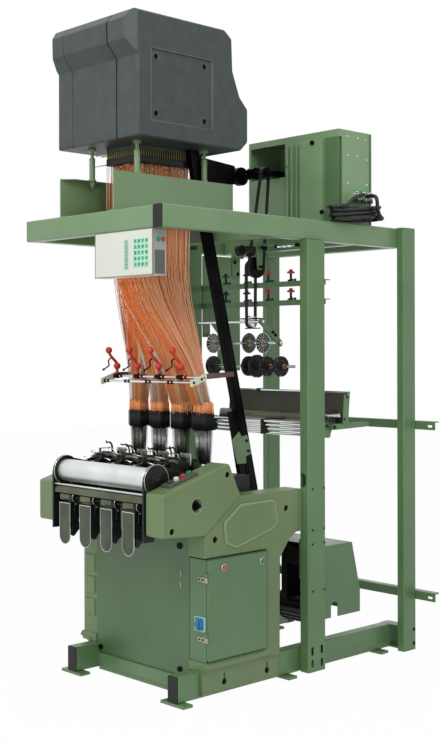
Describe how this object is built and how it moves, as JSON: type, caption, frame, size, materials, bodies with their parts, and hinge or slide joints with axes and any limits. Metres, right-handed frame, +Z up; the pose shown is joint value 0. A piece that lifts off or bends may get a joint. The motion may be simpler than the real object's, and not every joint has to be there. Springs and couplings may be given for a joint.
{
  "type": "power loom",
  "caption": "Narrow-fabric needle loom with four weaving heads; a gantry platform carries the jacquard head, its orange harness and the warp feed.",
  "frame": {"origin": "middle of the rectangle of outer anchor holes in the front and rear feet, at floor level", "axes": "+X to the loom's right as the weaver stands in front of it, +Y to the back where the warp comes in, +Z up"},
  "size_m": [1.138, 1.669, 2.96],
  "materials": {
    "black_cable": "black cable sheath",
    "black_metal": "black finish",
    "black_plastic": "matt black",
    "black_rubber": "black rubber belt",
    "button_dark": "glossy",
    "button_green": "glossy",
    "button_red": "glossy",
    "button_white": "glossy",
    "cast_green": "light green paint on cast iron",
    "chrome": "polished",
    "dark_grey_cover": "textured dark grey",
    "green_paint": "semi-gloss green paint",
    "heddle_wire": "grey wires below a black band",
    "lamp_lens": "glossy",
    "machine_black": "dark oiled metal",
    "orange_cord": "orange harness cord",
    "panel_white": "off-white paint",
    "red_paint": "red hand grips on a steel rod",
    "steel": "brushed",
    "switch_blue": "glossy",
    "tray_grey": "grey-beige paint"
  },
  "bodies": {
    "frame": {"floor_beams": "green_paint", "end_caps": "black_plastic", "floor_feet": "green_paint", "floor_cross_members": "green_paint", "mid_post_right": "green_paint", "mid_post_left": "green_paint", "rear_posts": "green_paint", "platform_rails": "green_paint", "platform_cross_members": "green_paint", "rear_cross_bars": "green_paint", "side_casting_right": "cast_green", "side_casting_left": "cast_green", "front_cover_right": "cast_green", "front_cover_left": "cast_green", "control_strip": "black_plastic", "front_panel": "green_paint", "electrical_cabinet": "green_paint", "machine_bed": "machine_black", "weaving_heads": "machine_black", "takeup_brackets": "machine_black", "ribbon_chutes": "steel", "guide_rods": "chrome", "head_channels": "green_paint", "head_legs": "green_paint", "jacquard_cover": "dark_grey_cover", "hook_box": "black_plastic", "harness_cords": "orange_cord", "heddle_bundles": "heddle_wire", "harness_rods": "chrome", "belt_guard": "black_metal", "drive_motor": "machine_black", "motor_guard": "green_paint", "drive_bearing": "black_metal", "feed_frame": "green_paint", "drive_belts": "black_rubber", "warp_tray": "tray_grey", "backrest_rods": "chrome", "rear_cabinet": "green_paint", "cable_hank": "black_cable", "control_box": "panel_white"},
    "door": {"cabinet_door": "green_paint", "door_lamps": "lamp_lens"},
    "switch": {"main_switch": "switch_blue"},
    "dark_button": {"strip_button_dark": "button_dark"},
    "white_button": {"strip_button_white": "button_white"},
    "red_button": {"strip_button_red": "button_red"},
    "green_button": {"strip_button_green": "button_green"},
    "box_green": {"box_button_green": "button_green"},
    "box_red": {"box_button_red": "button_red"},
    "roller": {"takeup_roller": "steel"},
    "cloth_roller_shaft": {"cloth_rollers": "black_plastic"},
    "batten": {"reed_batten": "steel"},
    "weft_bar": {"needle_arms": "steel"},
    "levers": {"tension_levers": "red_paint"},
    "top_shaft": {"top_drive_shaft": "black_metal"},
    "idler": {"idler_pulley": "black_metal"},
    "feed_drive": {"feed_drive_shaft": "chrome"},
    "silver_discs": {"feed_shaft_upper": "steel"},
    "black_discs": {"feed_shaft_lower": "black_metal"},
    "hand_lever": {"warp_lever": "green_paint"}
  },
  "joints": [
    {"name": "cabinet_door_hinge", "type": "hinge", "parent": "frame", "child": "door", "pos_m": [0.41855, -0.5395, 0.252], "axis": [0, 0, -1], "range_deg": [0, 110]},
    {"name": "main_switch_turn", "type": "hinge", "parent": "frame", "child": "switch", "pos_m": [0.378, -0.5335, 0.327], "axis": [0, 1, 0], "range_deg": [0, 90]},
    {"name": "dark_button_press", "type": "slide", "parent": "frame", "child": "dark_button", "axis": [0, 0.2777, -0.9607], "range_m": [0, 0.004], "stiffness_N_per_m": 400, "springref_m": -0.003},
    {"name": "white_button_press", "type": "slide", "parent": "frame", "child": "white_button", "axis": [0, 0.2777, -0.9607], "range_m": [0, 0.004], "stiffness_N_per_m": 400, "springref_m": -0.003},
    {"name": "red_button_press", "type": "slide", "parent": "frame", "child": "red_button", "axis": [0, 0.2777, -0.9607], "range_m": [0, 0.004], "stiffness_N_per_m": 400, "springref_m": -0.003},
    {"name": "green_button_press", "type": "slide", "parent": "frame", "child": "green_button", "axis": [0, 0.2777, -0.9607], "range_m": [0, 0.004], "stiffness_N_per_m": 400, "springref_m": -0.003},
    {"name": "box_green_press", "type": "slide", "parent": "frame", "child": "box_green", "axis": [-1, 0, 0], "range_m": [0, 0.004], "stiffness_N_per_m": 400, "springref_m": -0.003},
    {"name": "box_red_press", "type": "slide", "parent": "frame", "child": "box_red", "axis": [-1, 0, 0], "range_m": [0, 0.004], "stiffness_N_per_m": 400, "springref_m": -0.003},
    {"name": "takeup_roller_spin", "type": "hinge", "parent": "frame", "child": "roller", "pos_m": [0, -0.7175, 0.946], "axis": [1, 0, 0], "continuous": true},
    {"name": "cloth_roller_spin", "type": "hinge", "parent": "frame", "child": "cloth_roller_shaft", "pos_m": [0, -0.7605, 0.834], "axis": [1, 0, 0], "continuous": true},
    {"name": "batten_swing", "type": "hinge", "parent": "frame", "child": "batten", "pos_m": [0, -0.4055, 0.972], "axis": [1, 0, 0], "range_deg": [-8, 8]},
    {"name": "weft_bar_slide", "type": "slide", "parent": "frame", "child": "weft_bar", "axis": [1, 0, 0], "range_m": [0, 0.05]},
    {"name": "tension_levers_rock", "type": "hinge", "parent": "frame", "child": "levers", "pos_m": [0, -0.4675, 1.374], "axis": [1, 0, 0], "range_deg": [-20, 20]},
    {"name": "top_shaft_spin", "type": "hinge", "parent": "frame", "child": "top_shaft", "pos_m": [0, 0.1855, 2.355], "axis": [1, 0, 0], "continuous": true},
    {"name": "idler_spin", "type": "hinge", "parent": "frame", "child": "idler", "pos_m": [0, 0.1225, 1.893], "axis": [1, 0, 0], "continuous": true},
    {"name": "feed_drive_spin", "type": "hinge", "parent": "frame", "child": "feed_drive", "pos_m": [0, 0.1225, 1.63], "axis": [1, 0, 0], "continuous": true},
    {"name": "silver_disc_spin", "type": "hinge", "parent": "frame", "child": "silver_discs", "pos_m": [0, 0.2475, 1.528], "axis": [1, 0, 0], "continuous": true},
    {"name": "black_disc_spin", "type": "hinge", "parent": "frame", "child": "black_discs", "pos_m": [0, 0.2475, 1.413], "axis": [1, 0, 0], "continuous": true},
    {"name": "warp_lever_turn", "type": "hinge", "parent": "frame", "child": "hand_lever", "pos_m": [0.424, 0.2685, 1.131], "axis": [-1, 0, 0], "range_deg": [0, 30]}
  ],
  "couplings": [
    {"joint": "idler_spin", "follows": "top_shaft_spin", "ratio": 0.5},
    {"joint": "feed_drive_spin", "follows": "top_shaft_spin", "ratio": 0.55556},
    {"joint": "silver_disc_spin", "follows": "top_shaft_spin", "ratio": -0.55556},
    {"joint": "black_disc_spin", "follows": "top_shaft_spin", "ratio": 0.55556}
  ]
}
